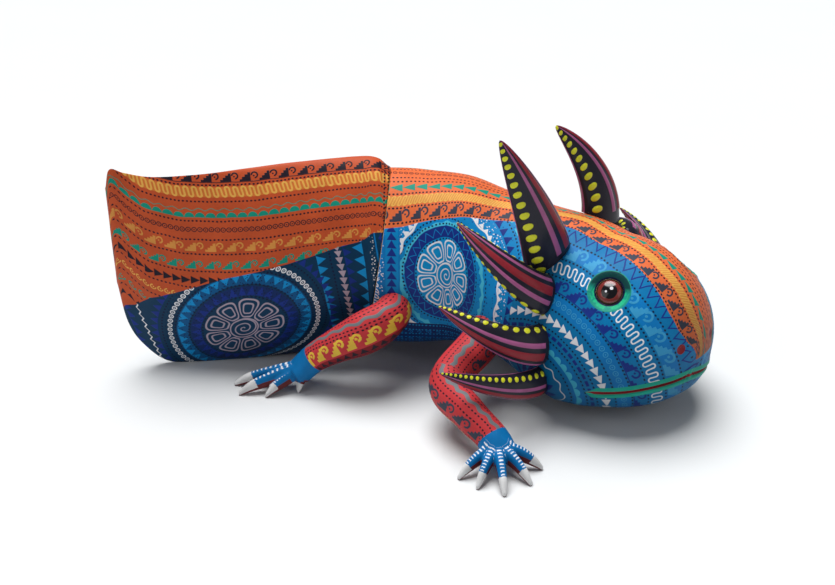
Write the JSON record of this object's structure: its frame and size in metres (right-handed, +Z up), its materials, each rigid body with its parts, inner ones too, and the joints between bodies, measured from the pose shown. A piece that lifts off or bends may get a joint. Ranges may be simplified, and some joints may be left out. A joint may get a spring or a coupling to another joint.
{
  "type": "carved animal figure",
  "caption": "Painted carved wooden axolotl, head turned aside, standing on four splayed feet and its tall tail fin, with plug-in tail and gills",
  "frame": {"origin": "on the floor, under the middle of the whole figure's bounding box", "axes": "+Z up; +X is the figure's longest way, from tail tip to head; the animal's right side faces -Y"},
  "size_m": [0.3912, 0.2836, 0.189],
  "materials": {
    "body_paint": "satin hand-painted acrylic on carved softwood: blue with fine dotted bands, rosettes and an orange back",
    "tail_paint": "satin hand-painted acrylic on carved softwood: orange bands above, blue with a rosette below",
    "gill_paint": "black paint with thick glossy raised stripes and dots",
    "leg_paint": "satin red paint with fine bands, blue foot, white nails",
    "bare_wood": "bare turned softwood",
    "eye_bead": "high-gloss lacquered bead, black pupil in a red-brown iris"
  },
  "bodies": {
    "figure": {"body": "body_paint", "fore_leg_right": "leg_paint", "fore_leg_left": "leg_paint", "hind_leg_right": "leg_paint", "hind_leg_left": "leg_paint", "fore_dowel_right": "bare_wood", "fore_dowel_left": "bare_wood", "hind_dowel_right": "bare_wood", "hind_dowel_left": "bare_wood", "eye_right": "eye_bead", "eye_left": "eye_bead"},
    "tail_piece": {"tail": "tail_paint"},
    "gill_right_1_piece": {"gill_right_1": "gill_paint"},
    "gill_right_2_piece": {"gill_right_2": "gill_paint"},
    "gill_right_3_piece": {"gill_right_3": "gill_paint"},
    "gill_right_4_piece": {"gill_right_4": "gill_paint"},
    "gill_left_1_piece": {"gill_left_1": "gill_paint"},
    "gill_left_2_piece": {"gill_left_2": "gill_paint"},
    "gill_left_3_piece": {"gill_left_3": "gill_paint"},
    "gill_left_4_piece": {"gill_left_4": "gill_paint"}
  },
  "joints": [
    {"name": "tail_pull", "type": "slide", "parent": "figure", "child": "tail_piece", "axis": [-1, 0, 0], "range_m": [0, 0.045]},
    {"name": "gill_right_1_pull", "type": "slide", "parent": "figure", "child": "gill_right_1_piece", "axis": [-0.2001, -0.4501, 0.8703], "range_m": [0, 0.02]},
    {"name": "gill_right_2_pull", "type": "slide", "parent": "figure", "child": "gill_right_2_piece", "axis": [-0.5513, -0.6515, 0.5212], "range_m": [0, 0.02]},
    {"name": "gill_right_3_pull", "type": "slide", "parent": "figure", "child": "gill_right_3_piece", "axis": [-0.6592, -0.7191, 0.2197], "range_m": [0, 0.02]},
    {"name": "gill_right_4_pull", "type": "slide", "parent": "figure", "child": "gill_right_4_piece", "axis": [-0.6021, -0.7728, 0.2007], "range_m": [0, 0.02]},
    {"name": "gill_left_1_pull", "type": "slide", "parent": "figure", "child": "gill_left_1_piece", "axis": [0.0501, 0.3008, 0.9524], "range_m": [0, 0.02]},
    {"name": "gill_left_2_pull", "type": "slide", "parent": "figure", "child": "gill_left_2_piece", "axis": [0.3505, 0.9312, 0.1001], "range_m": [0, 0.02]},
    {"name": "gill_left_3_pull", "type": "slide", "parent": "figure", "child": "gill_left_3_piece", "axis": [0.6688, 0.7102, 0.2197], "range_m": [0, 0.02]},
    {"name": "gill_left_4_pull", "type": "slide", "parent": "figure", "child": "gill_left_4_piece", "axis": [0.7182, 0.6662, 0.2007], "range_m": [0, 0.02]}
  ]
}
